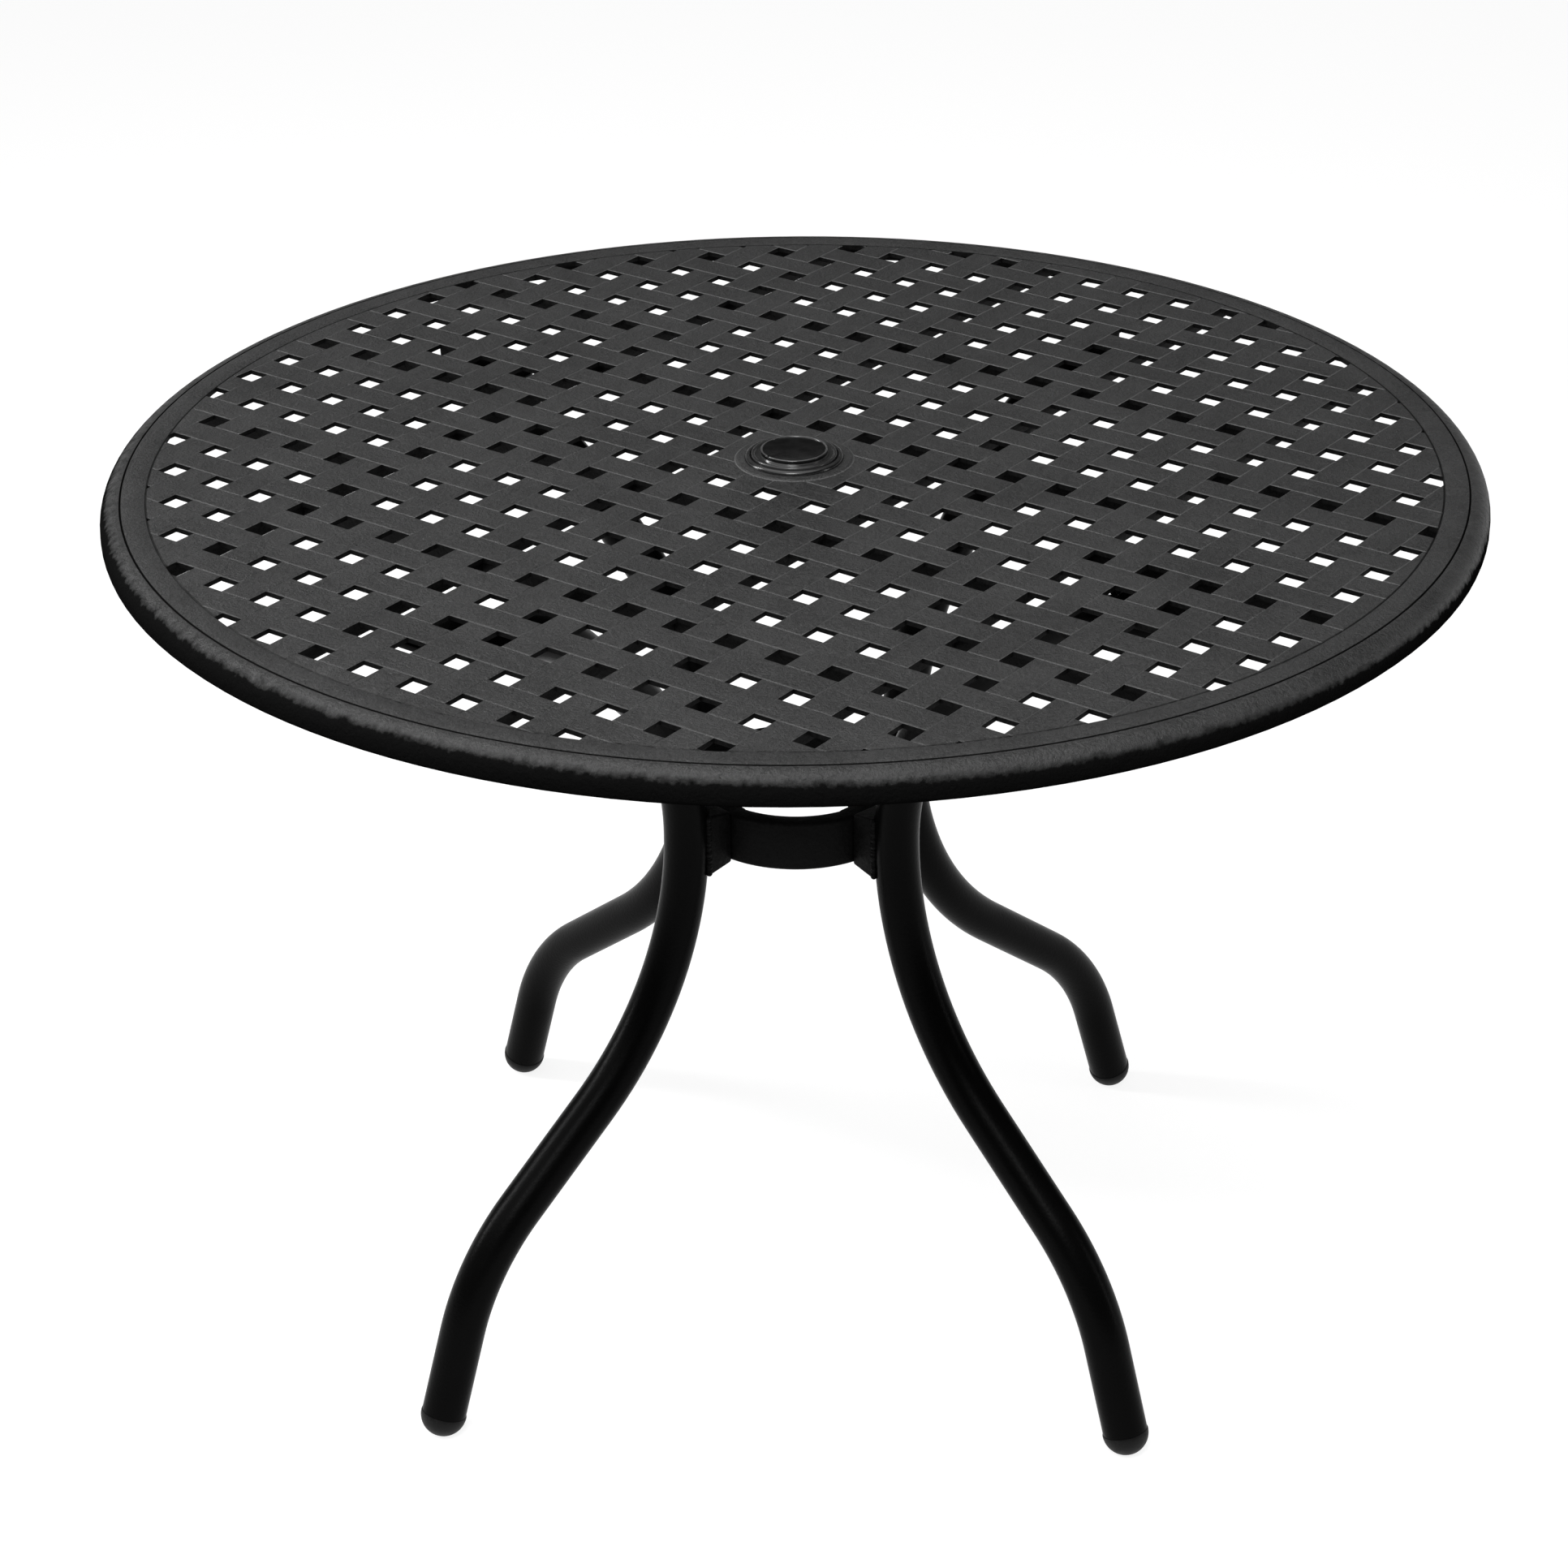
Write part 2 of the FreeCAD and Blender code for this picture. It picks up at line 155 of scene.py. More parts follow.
def cast_coat():
    """Wrinkled black powder coat: glossy on the face and the upper roll, with painted shade on the
    lower skirt, which is dark and without reflection below a ragged height that sits higher
    towards -X.

    Two dark lines of painted shade run round the margin in its grooves. Painted highlights lighten
    the grooves of the weave, more towards +X and +Y, and the edge of the pad.
    """
    coat = Finish(bpy.data.materials.new("top_wrinkle_coat"))
    wrinkle = coat.noise(400.0, 4.0, 0.7)
    swell = coat.noise(150.0, 3.0, 0.55)
    cloud = coat.noise(11.0, 4.0, 0.6)
    across, along, height = [coat.coordinate(axis) for axis in range(3)]
    reach = coat.reach()

    def beyond(radius, width):
        """0 inside the radius and 1 a width in millimetres outside it."""
        return coat.ramp((reach - radius) * 1000, (0.0, 0.0), (width, 1.0))

    def band(inner, outer):
        """Ring of the top between two radii."""
        return beyond(inner, 0.3) - beyond(outer, 0.3)

    on_roll = beyond(0.5172, 0.6)
    in_field = 1 - beyond(0.4955, 0.9)
    # Painted shade: dark lines in the groove at the edge of the field, stronger towards +Y, and in
    # the groove before the roll, wider towards -Y.
    field_groove_shade = (0.75 + 0.6 * along) * band(0.4968, 0.4984)
    roll_groove_shade = band(0.5163 + 0.0010 * along, 0.5177)
    # Painted highlight: a light line round the edge of the pad.
    pad_edge_highlight = 0.8 * band(0.0455, 0.0465)
    # Painted shade: below this ragged height, higher towards -X, the skirt takes the dark coat
    # without reflection.
    skirt_shade_top = 0.7356 - on_roll * (0.0114 + 0.007 * across - 0.0085 * swell)
    above_skirt_shade = coat.ramp((height - skirt_shade_top) * 200, (0.0, 0.0), (1.0, 1.0))
    # Share of the glossy coat; the rest is painted shade on the lower skirt and in the two margin
    # grooves.
    unshaded_share = 1 - (1 - above_skirt_shade) * on_roll - (field_groove_shade + roll_groove_shade)
    # Painted highlight: the grooves of the weave are lighter, more so towards +X and +Y.
    in_groove = coat.ramp((height - 0.7362) * 1000, (0.0, 1.0), (0.5, 1.0), (0.72, 0.0))
    groove_and_pad_highlight = in_groove * in_field * (0.66 + 0.6 * across + 0.8 * along) + pad_edge_highlight
    level = coat.ramp(cloud * 0.30 + swell * 0.15 + wrinkle * 0.55, (0.38, 0.0), (0.62, 1.0))
    colour = coat.blend(level, grey(0.004), grey(0.031))
    colour = coat.blend(groove_and_pad_highlight, colour, grey(0.075))
    rise = coat.bump(swell, 0.0013)
    rise = coat.bump(wrinkle, 0.0013, rise)
    glossy = coat.node("ShaderNodeBsdfPrincipled", None, {
        "Base Color": colour, "Roughness": 0.41 + 0.12 * cloud, "Normal": rise,
        "Specular IOR Level": 0.5})
    # Dark coat without reflection that carries the painted shade.
    dull = coat.node("ShaderNodeBsdfPrincipled", None, {
        "Base Color": grey(0.0055), "Roughness": 0.55, "Normal": rise, "Specular IOR Level": 0.0})
    both = coat.node("ShaderNodeMixShader", None, {0: unshaded_share, 1: dull, 2: glossy})
    coat.node("ShaderNodeOutputMaterial", None, {"Surface": both})
    return coat.owner


def shade_painted_coat():
    """Dark, dull coat on faces that look sideways or down, in the holes and underneath: painted
    shade.
    """
    coat = Finish(bpy.data.materials.new("top_shade_painted_coat"))
    grain = coat.noise(260.0, 4.0, 0.6)
    colour = coat.blend(coat.ramp(grain, (0.35, 0.0), (0.65, 1.0)), grey(0.0022), grey(0.0065))
    return coat.shader({
        "Base Color": colour, "Roughness": 0.5 + 0.2 * grain, "Normal": coat.bump(grain, 0.0008),
        "Specular IOR Level": 0.03})


def verts_in(parts):
    return [part for part in parts if isinstance(part, bmesh.types.BMVert)]


def turn(bm, angle, axis="Z", verts=None):
    """Turns the mesh, or some of its vertices, about an axis of the frame."""
    bmesh.ops.rotate(bm, cent=(0, 0, 0), matrix=Matrix.Rotation(angle, 3, axis),
                     verts=verts or bm.verts[:])


def flat_line(bm, axis, place):
    """Cuts the whole mesh along a line across the given axis."""
    normal = Vector((0, 0, 0))
    normal[axis] = 1
    geometry = bm.verts[:] + bm.edges[:] + bm.faces[:]
    bmesh.ops.bisect_plane(bm, geom=geometry, plane_co=place * normal, plane_no=normal)


def crossing(bm):
    """Crossing at the origin with the strip along X on top, from hole middle to hole middle."""
    bmesh.ops.create_grid(bm, x_segments=1, y_segments=1, size=pitch / 2)
    for side in (-1, 1):
        flat_line(bm, 0, side * half_strip)
        flat_line(bm, 0, side * (half_strip - groove_half))
        for shift in (-groove_half, 0, groove_half):
            flat_line(bm, 1, side * (half_strip + shift))
    corners = [
        face for face in bm.faces
        if min(abs(face.calc_center_median().x), abs(face.calc_center_median().y)) > half_strip]
    bmesh.ops.delete(bm, geom=corners, context="FACES")
    for vert in bm.verts:
        on_row = abs(abs(vert.co.y) - half_strip) < 1e-6
        on_column = abs(abs(vert.co.x) - half_strip) < 1e-6
        beside = abs(vert.co.y) > half_strip - 1e-6
        vert.co.z = face_level
        if on_row or on_column and beside:
            vert.co.z -= groove_depth


def lay_weave(bm):
    """Lays crossings over the whole field, turned by a quarter where the other strip is on top."""
    crossing(bm)
    pattern = bm.faces[:]
    count = int(field_radius / pitch) + 1
    for i in range(-count, count + 1):
        for j in range(-count, count + 1):
            nearest = hypot(max(abs(i) - 0.5, 0), max(abs(j) - 0.5, 0)) * pitch
            if (i, j) == (0, 0) or nearest > field_radius:
                continue
            copy = bmesh.ops.duplicate(bm, geom=pattern)["geom"]
            verts = verts_in(copy)
            if (i + j) % 2:
                turn(bm, pi / 2, verts=verts)
            bmesh.ops.translate(bm, vec=(i * pitch, j * pitch, 0), verts=verts)
    bmesh.ops.remove_doubles(bm, verts=bm.verts[:], dist=1e-5)
    slivers = []
    for edge in bm.edges:
        point = (edge.verts[0].co + edge.verts[1].co) / 2
        centre = [(floor(point[axis] / pitch) + 0.5) * pitch for axis in (0, 1)]
        inside = all(abs(point[axis] - centre[axis]) < hole / 2 + 1e-6 for axis in (0, 1))
        nearest = hypot(*(abs(place) - hole / 2 for place in centre))
        if edge.is_boundary and inside and field_radius - least_hole < nearest < field_radius:
            slivers.append(edge)
    bmesh.ops.holes_fill(bm, edges=slivers, sides=0)
    turn(bm, weave_turn)


def faces_between(bm, inner, outer):
    """Faces whose middle lies between two distances from the table's axis."""
    return [face for face in bm.faces if inner <= face.calc_center_median().xy.length < outer]


def round_cut(bm, radius, steps, faces, clear):
    """Cuts the faces along a circle, and clears what lies outside it if asked."""
    edges = {edge for face in faces for edge in face.edges}
    verts = {vert for face in faces for vert in face.verts}
    geometry = list(verts) + list(edges) + list(faces)
    for k in range(steps):
        angle = (k + 0.5) * 2 * pi / steps
        normal = Vector((cos(angle), sin(angle), 0))
        geometry = bmesh.ops.bisect_plane(
            bm, geom=geometry, dist=1e-7, plane_co=normal * radius * cos(pi / steps),
            plane_no=normal, clear_outer=clear)["geom"]


def finished(name, bm, material, body, sharp=38.0):
    """Makes the object, smooth up to the sharp angle, and puts it on its body."""
    mesh = bpy.data.meshes.new(name)
    bm.to_mesh(mesh)
    bm.free()
    mesh.materials.append(material)
    mesh.shade_smooth()
    mesh.set_sharp_from_angle(angle=radians(sharp))
    piece = bpy.data.objects.new(name, mesh)
    bpy.context.scene.collection.objects.link(piece)
    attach(piece, body)
    return piece


def cast_piece(name, bm, skirt_radius, sharp):
    """Piece of the casting. Its faces that look sideways or down, in holes and underneath, get the
    painted shade coat, but not the outside of a skirt beyond the given radius."""
    bm.normal_update()
    for face in bm.faces:
        centre = face.calc_center_median()
        skirt = centre.xy.length > skirt_radius and face.normal.xy.dot(centre.xy) > 0
        # Painted shade: faces that look sideways or down take the darker coat.
        if face.normal.z < 0.2 and not skirt:
            face.material_index = 1
    piece = finished(name, bm, top_coat, "table", sharp)
    piece.data.materials.append(painted_shade_coat)
    return piece


top_coat = cast_coat()
painted_shade_coat = shade_painted_coat()
weave = bmesh.new()
lay_weave(weave)
for radius, clear in ((field_radius - groove_half, False), (field_radius, True)):
    outer = faces_between(weave, field_radius - pitch, 1.0)
    round_cut(weave, radius, round_steps, outer, clear)
inner = faces_between(weave, 0.0, pad_radius + pitch / 2)
round_cut(weave, pad_radius - pad_overlap, round_steps // 3, inner, False)
middle = faces_between(weave, 0.0, pad_radius - pad_overlap - 0.0001)
bmesh.ops.delete(weave, geom=middle, context="FACES")
for vert in weave.verts:
    if vert.co.xy.length > field_radius * cos(pi / round_steps) - 1e-6:
        vert.co.z = face_level - groove_depth
below = bmesh.ops.extrude_face_region(weave, geom=weave.faces[:])["geom"]
for vert in verts_in(below):
    vert.co.z = face_level - plate
bmesh.ops.recalc_face_normals(weave, faces=weave.faces[:])
top_weave = cast_piece("top_weave", weave, 1.0, 30.0)
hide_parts("table_top")


# Margin and rolled edge of the same casting. A flat band surrounds the weave, a fine groove
# ends it, and the edge rolls over into a skirt that is open underneath.
rim_radius = 0.5333
roll_start = 0.518
roll_size = 0.0153
roll_groove = 0.0014
rim_foot = 0.713
rim_wall = 0.005


def turned_ring(corners, steps, closed=True):
    """Turned shape from the corners of its section: radius, height and rounding of each."""
    bm = bmesh.new()
    verts = [bm.verts.new((corner[0], 0, corner[1])) for corner in corners]
    for k in range(len(verts) if closed else len(verts) - 1):
        bm.edges.new((verts[k], verts[(k + 1) % len(verts)]))
    for vert, corner in zip(verts, corners):
        if len(corner) > 2:
            bmesh.ops.bevel(
                bm, geom=[vert], offset=corner[2], offset_type="OFFSET",
                segments=max(3, int(corner[2] * 900)), profile=0.5, affect="VERTICES",
                material=-1, clamp_overlap=False)
    bmesh.ops.remove_doubles(bm, verts=bm.verts[:], dist=1e-6)
    bmesh.ops.spin(bm, geom=bm.verts[:] + bm.edges[:], cent=(0, 0, 0), axis=(0, 0, 1),
                   angle=2 * pi, steps=steps, use_merge=True)
    bmesh.ops.remove_doubles(bm, verts=bm.verts[:], dist=1e-6)
    bmesh.ops.recalc_face_normals(bm, faces=bm.faces[:])
    return bm


rim = turned_ring([
    (field_radius, face_level - plate), (field_radius, face_level - groove_depth),
    (field_radius + groove_half, face_level), (roll_start - roll_groove, face_level, 0.0002),
    (roll_start - roll_groove / 2, face_level - 0.0015), (roll_start, face_level, 0.0002),
    (rim_radius, face_level, roll_size), (rim_radius, rim_foot, 0.004),
    (rim_radius - rim_wall, rim_foot, 0.0008),
    (rim_radius - rim_wall, face_level - rim_wall, roll_size - rim_wall),
    (roll_start - 0.001, face_level - rim_wall, 0.0005), (roll_start - 0.002, face_level - plate)],
    round_steps)
cast_piece("top_rim", rim, roll_start, 42.0)


# Ribs and bosses under the casting. Straight ribs stiffen the plate under the middle of
# its strips, and four long bosses, hidden under a strip each, take the bolts of the legs.
underside = 0.718
rib = 0.005
rib_draft = 0.0005
rib_top = face_level - plate + 0.0003
rib_reach = rim_radius - 0.0056
main_rib = 6 * pitch
boss = 0.019
bolt_x = -pitch
bolt_outer = -0.3855
bolt_inner = bolt_outer + pitch / 2


def add_to(bm, other):
    """Moves the faces of another mesh into this one."""
    carrier = bpy.data.meshes.new("carrier")
    other.to_mesh(carrier)
    other.free()
    bm.from_mesh(carrier)
    bpy.data.meshes.remove(carrier)


def soften(bm, edges, size, steps):
    bmesh.ops.bevel(bm, geom=edges, offset=size, offset_type="OFFSET", segments=steps,
                    profile=0.5, affect="EDGES", material=-1)


def block(bm, low, high, draft, soft):
    """Adds a cast bar between two corners, narrower at its foot by the draft."""
    size = [b - a for a, b in zip(low, high)]
    middle = [(a + b) / 2 for a, b in zip(low, high)]
    place = Matrix.Translation(middle) @ Matrix.Diagonal((*size, 1))
    verts = bmesh.ops.create_cube(bm, size=1, matrix=place)["verts"]
    foot = [vert for vert in verts if vert.co.z < middle[2]]
    for vert in foot:
        for axis in (0, 1):
            vert.co[axis] += draft if vert.co[axis] < middle[axis] else -draft
    lines = {edge for vert in foot for edge in vert.link_edges}
    soften(bm, list(lines), soft, 2)


def straight_rib(bm, axis, place, start, end):
    """Rib from start to end along the axis 0 or 1, at the place across it."""
    low, high = [start, start], [end, end]
    low[1 - axis], high[1 - axis] = place - rib / 2, place + rib / 2
    block(bm, (*low, underside), (*high, rib_top), rib_draft, 0.0008)


under = bmesh.new()
for side in (-1, 1):
    for row in (2, 6):
        place = side * row * pitch
        length = sqrt(rib_reach ** 2 - place ** 2)
        straight_rib(under, 1, place, -length, length)
        straight_rib(under, 0, place, -main_rib, main_rib)
    for row in (-4, 0, 4):
        place = row * pitch
        length = sqrt(rib_reach ** 2 - place ** 2)
        straight_rib(under, 0, place, *sorted((side * main_rib, side * length)))
for k in range(4):
    bosses = bmesh.new()
    block(bosses, (bolt_x - boss / 2, bolt_outer - boss / 2, underside),
          (bolt_x + boss / 2, bolt_inner + boss / 2, rib_top), 0.0006, 0.0015)
    turn(bosses, k * pi / 2)
    add_to(under, bosses)
turn(under, weave_turn)
# The ribs under the top take the painted shade coat all over.
finished("top_ribs", under, painted_shade_coat, "table")


# Hub of the casting. A low round pad covers the four innermost holes, and a sleeve under it
# takes the plastic ring for the umbrella pole.
hub_radius = 0.0255
hub_top = 0.7382
hub_wall = 0.007

hub = turned_ring([
    (hub_radius, underside, 0.0006), (hub_radius, hub_top, 0.0005),
    (pad_radius - 0.0022, hub_top, 0.0003), (pad_radius, face_level - 0.0001),
    (pad_radius, face_level - plate), (hub_radius + hub_wall, face_level - plate, 0.002),
    (hub_radius + hub_wall, underside, 0.0008)], 96)
cast_piece("top_hub", hub, 1.0, 38.0)


# Plates on the leg ends. Each leg ends in a flat aluminium plate, welded on along the tube,
# which two bolts hold against a boss of the top.
leg_names = ("front_left", "front_right", "rear_right", "rear_left")
leg_end = 0.713
leg_plate = 0.005
plate_width = 0.050
plate_length = 0.080
plate_reach = 0.396
plate_corner = 0.012
plate_soft = 0.0007


def tube_coat():
    """Smooth black powder coat on the tubes, with a little orange peel."""
    coat = Finish(bpy.data.materials.new("leg_satin_coat"))
    peel = coat.noise(420.0, 2.0, 0.45)
    cloud = coat.noise(14.0, 3.0, 0.55)
    fine = coat.noise(1300.0, 2.0, 0.6)
    colour = coat.blend(cloud, grey(0.0015), grey(0.0034))
    rise = coat.bump(peel * 0.8 + fine * 0.2, 0.00018)
    return coat.shader({
        "Base Color": colour, "Roughness": 0.25 + 0.10 * cloud, "Normal": rise,
        "Specular IOR Level": 0.033})


leg_coat = tube_coat()
for k, name in enumerate(leg_names):
    bm = bmesh.new()
    place = Matrix.Translation((bolt_x, plate_length / 2 - plate_reach, leg_end + leg_plate / 2))
    size = Matrix.Diagonal((plate_width, plate_length, leg_plate, 1))
    bmesh.ops.create_cube(bm, size=1, matrix=place @ size)
    uprights = [edge for edge in bm.edges
                if abs(edge.verts[0].co.z - edge.verts[1].co.z) > leg_plate / 2]
    soften(bm, uprights, plate_corner, 8)
    soften(bm, [edge for edge in bm.edges if edge.calc_face_angle(0) > 1.0], plate_soft, 2)
    turn(bm, weave_turn + k * pi / 2)
    plate_piece = finished("leg_plate_" + name + "_cut", bm, leg_coat, "table")
    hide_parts("leg_plate_" + name)


# Legs. Each one is a round aluminium tube, upright at the waist, where the hoop ties it. It
# sweeps out over the knee and down to the foot, and above the waist out to a closed round
# end that lies level under the top, in a plane that is turned a little.
leg_first = radians(-135.0)
tube = 0.018
tube_sides = 48
waist_radius = 0.118
waist_level = 0.450
shoulder_bend = 0.208
shoulder_angle = radians(45.3)
shoulder_turn = radians(10.5)
neck_bend = 0.138
neck_level = leg_end + 0.001 - tube
knee_bend = 0.270
knee_angle = radians(52.0)
shin_length = 0.100
ankle_bend = 0.190
foot_lean = radians(18.5)
glide_radius = 0.0186
glide_centre = glide_radius - 0.0013
slope_foot = Vector((
    shoulder_bend * (1 - cos(shoulder_angle)), 0, shoulder_bend * sin(shoulder_angle)))
slope_rise = neck_level - waist_level - slope_foot.z - neck_bend * (1 - sin(shoulder_angle))
slope_top = slope_foot + slope_rise / cos(shoulder_angle) * Vector((
    sin(shoulder_angle), 0, cos(shoulder_angle)))
neck_end = slope_top + neck_bend * Vector((cos(shoulder_angle), 0, 1 - sin(shoulder_angle)))
shin_top = Vector((
    waist_radius + knee_bend * (1 - cos(knee_angle)), 0,
    waist_level - knee_bend * sin(knee_angle)))
shin_foot = shin_top + shin_length * Vector((sin(knee_angle), 0, -cos(knee_angle)))
ankle_centre = shin_foot - ankle_bend * Vector((cos(knee_angle), 0, sin(knee_angle)))
ankle_end = ankle_centre + ankle_bend * Vector((cos(foot_lean), 0, sin(foot_lean)))
foot = Vector((
    ankle_end.x + (ankle_end.z - glide_centre) * sin(foot_lean) / cos(foot_lean), 0,
    glide_centre))


def bent_tube():
    """Tube along +X from its waist: bends are spun and straight runs extruded."""
    bm = bmesh.new()
    place = Matrix.Translation((0, 0, waist_level))
    ring = bmesh.ops.create_circle(
        bm, cap_ends=False, segments=tube_sides, radius=tube, matrix=place)["verts"]
    edges = list({edge for vert in ring for edge in vert.link_edges})

    def bend(edges, centre, angle):
        result = bmesh.ops.spin(
            bm, geom=edges + list({vert for edge in edges for vert in edge.verts}), cent=centre,
            axis=(0, 1, 0), angle=angle, steps=max(4, int(abs(angle) / radians(2.0))))
        return [part for part in result["geom_last"] if isinstance(part, bmesh.types.BMEdge)]

    def run(edges, way):
        result = bmesh.ops.extrude_edge_only(bm, edges=edges)["geom"]
        verts = verts_in(result)
        bmesh.ops.translate(bm, vec=way, verts=verts)
        return [part for part in result if isinstance(part, bmesh.types.BMEdge)
                and all(vert in verts for vert in part.verts)]

    up = bend(edges, (shoulder_bend, 0, waist_level), shoulder_angle)
    up = run(up, slope_top - slope_foot)
    up = bend(up, Vector((0, 0, waist_level - neck_bend)) + neck_end, pi / 2 - shoulder_angle)
    dome = Matrix.Translation((neck_end.x, 0, neck_level)) @ Matrix.Rotation(pi / 2, 4, "Y")
    ball = bmesh.ops.create_uvsphere(
        bm, u_segments=tube_sides, v_segments=tube_sides // 2, radius=tube, matrix=dome)["verts"]
    back = [vert for vert in ball if vert.co.x < neck_end.x - 1e-5]
    bmesh.ops.delete(bm, geom=back, context="VERTS")
    bmesh.ops.remove_doubles(bm, verts=bm.verts[:], dist=1e-5)
    for vert in bm.verts:
        vert.co.z = min(vert.co.z, leg_end + 0.0004)
    turn(bm, shoulder_turn)
    bmesh.ops.translate(bm, vec=(waist_radius, 0, 0), verts=bm.verts[:])
    edges = [edge for edge in bm.edges if edge.is_boundary]
    edges = bend(edges, (waist_radius + knee_bend, 0, waist_level), -knee_angle)
    edges = run(edges, shin_foot - shin_top)
    edges = bend(edges, ankle_centre, knee_angle - foot_lean)
    edges = run(edges, foot - ankle_end)
    bmesh.ops.holes_fill(bm, edges=[edge for edge in bm.edges if edge.is_boundary], sides=0)
    bmesh.ops.recalc_face_normals(bm, faces=bm.faces[:])
    return bm


for k, name in enumerate(leg_names):
    bm = bent_tube()
    turn(bm, leg_first + k * pi / 2)
    leg_piece = finished("leg_" + name + "_bent", bm, leg_coat, "table", 50.0)
    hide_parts("leg_" + name)


# Glides. A black plastic dome with a plug closes the foot of each tube, and a small flat on
# it stands on the floor.
glide_edge = 0.0012
glide_plug = tube - 0.0023
glide_plug_length = 0.018


def glide_plastic():
    """Matte moulded plastic with scattered scuffs."""
    moulded = Finish(bpy.data.materials.new("glide_matte_plastic"))
    grain = moulded.noise(900.0, 2.0, 0.5)
    scuff = moulded.ramp(moulded.noise(160.0, 4.0, 0.7), (0.52, 0.0), (0.72, 1.0))
    colour = moulded.blend(scuff, grey(0.004), grey(0.012))
    return moulded.shader({
        "Base Color": colour, "Roughness": 0.52 + 0.2 * scuff,
        "Normal": moulded.bump(grain, 0.00012), "Specular IOR Level": 0.15})


glide_finish = glide_plastic()
for k, name in enumerate(leg_names):
    bm = bmesh.new()
    ball = bmesh.ops.create_uvsphere(
        bm, u_segments=tube_sides, v_segments=tube_sides // 2, radius=glide_radius)["verts"]
    bmesh.ops.delete(bm, geom=[vert for vert in ball if vert.co.z > 1e-5], context="VERTS")
    add_to(bm, turned_ring([
        (0, glide_plug_length), (glide_plug, glide_plug_length, 0.001), (glide_plug, glide_edge),
        (glide_radius - 0.0003, glide_edge), (glide_radius, 0)], tube_sides, False))
    bmesh.ops.remove_doubles(bm, verts=bm.verts[:], dist=1e-5)
    turn(bm, -foot_lean, "Y")
    bmesh.ops.translate(bm, vec=foot, verts=bm.verts[:])
    for vert in bm.verts:
        vert.co.z = max(vert.co.z, 0)
    bmesh.ops.recalc_face_normals(bm, faces=bm.faces[:])
    turn(bm, leg_first + k * pi / 2)
    glide_piece = finished(
        "foot_glide_" + name + "_dome", bm, glide_finish, "table", 45.0)
    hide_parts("foot_glide_" + name)


# Welds. Beads run along both sides of each tube where it meets its plate, and down both ears
# of each lug. They are powder coated with the tube.
bead = 0.0026
bead_wander = 0.0002
bead_aside = 0.0078
bead_back = 0.030
bead_front = 0.012


def weld(bm, start, end):
    """Row of overlapping puddles from start to end, a little uneven in size and place."""
    count = int((end - start).length / (bead * 0.75))
    for k in range(count + 1):
        size = bead * (1 + 0.09 * sin(2.3 * k) + 0.06 * sin(5.1 * k))
        wander = Vector((bead_wander * sin(3.7 * k), bead_wander * cos(4.3 * k), 0))
        place = Matrix.Translation(start.lerp(end, k / count) + wander)
        bmesh.ops.create_icosphere(bm, subdivisions=2, radius=size, matrix=place)


for k, name in enumerate(leg_names):
    bm = bmesh.new()
    for side in (-1, 1):
        line = Vector((neck_end.x, side * bead_aside, leg_end - 0.0012))
        weld(bm, line - Vector((bead_back, 0, 0)), line + Vector((bead_front, 0, 0)))
    turn(bm, shoulder_turn)
    bmesh.ops.translate(bm, vec=(waist_radius, 0, 0), verts=bm.verts[:])
    turn(bm, leg_first + k * pi / 2)
    finished("leg_plate_weld_" + name, bm, leg_coat, "table", 60.0)


# Lugs. A cast block is welded to the inside of each tube at the waist. Its ears wrap round
# the tube, and its flat face takes the hoop.
hoop_flat = 0.086
lug_outer = 0.1090
lug_half = 0.018
lug_low = 0.4145
lug_high = 0.4675
lug_slant = 0.0045
lug_soft = 0.0022


def casting_coat():
    """Black powder coat over a rough casting."""
    coat = Finish(bpy.data.materials.new("brace_cast_coat"))
    pits = coat.noise(330.0, 4.0, 0.65)
    swell = coat.noise(70.0, 3.0, 0.5)
    colour = coat.blend(coat.ramp(pits, (0.35, 0.0), (0.65, 1.0)), grey(0.0018), grey(0.0055))
    rise = coat.bump(swell, 0.0010)
    rise = coat.bump(pits, 0.0005, rise)
    return coat.shader({
        "Base Color": colour, "Roughness": 0.42 + 0.22 * pits, "Normal": rise,
        "Specular IOR Level": 0.05})


def lug_block():
    """Lug of the leg along +X: its plan is filled, raised, slanted and softened."""
    bm = bmesh.new()
    aside = sqrt(tube ** 2 - (waist_radius - lug_outer) ** 2)
    ear = bm.verts.new((lug_outer, aside, lug_low))
    plan = [ear] + [bm.verts.new((x, y, lug_low)) for x, y in (
        (lug_outer, lug_half), (hoop_flat, lug_half),
        (hoop_flat, -lug_half), (lug_outer, -lug_half))]
    saddle = bmesh.ops.spin(bm, geom=[ear], cent=(waist_radius, 0, lug_low), axis=(0, 0, 1),
                            angle=2 * asin(aside / tube), steps=18)
    plan += verts_in(saddle["geom_last"])
    for first, second in zip(plan, plan[1:]):
        bm.edges.new((first, second))
    bmesh.ops.contextual_create(bm, geom=bm.edges[:])
    raised = bmesh.ops.extrude_face_region(bm, geom=bm.faces[:])["geom"]
    for vert in verts_in(raised):
        vert.co.z = lug_high
    for vert in bm.verts:
        share = (lug_outer - vert.co.x) / (lug_outer - hoop_flat)
        lower = vert.co.z < (lug_low + lug_high) / 2
        vert.co.z += lug_slant * share if lower else -0.8 * lug_slant * share
    bmesh.ops.recalc_face_normals(bm, faces=bm.faces[:])
    edges = [edge for edge in bm.edges if edge.calc_face_angle(0) > 0.7 and all(
        hypot(vert.co.x - waist_radius, vert.co.y) > tube + 1e-5 for vert in edge.verts)]
    soften(bm, edges, lug_soft, 3)
    for side in (-1, 1):
        weld(bm, Vector((lug_outer, side * (aside + 0.0008), lug_low + 0.002)),
             Vector((lug_outer, side * (aside + 0.0008), lug_high - 0.002)))
    return bm


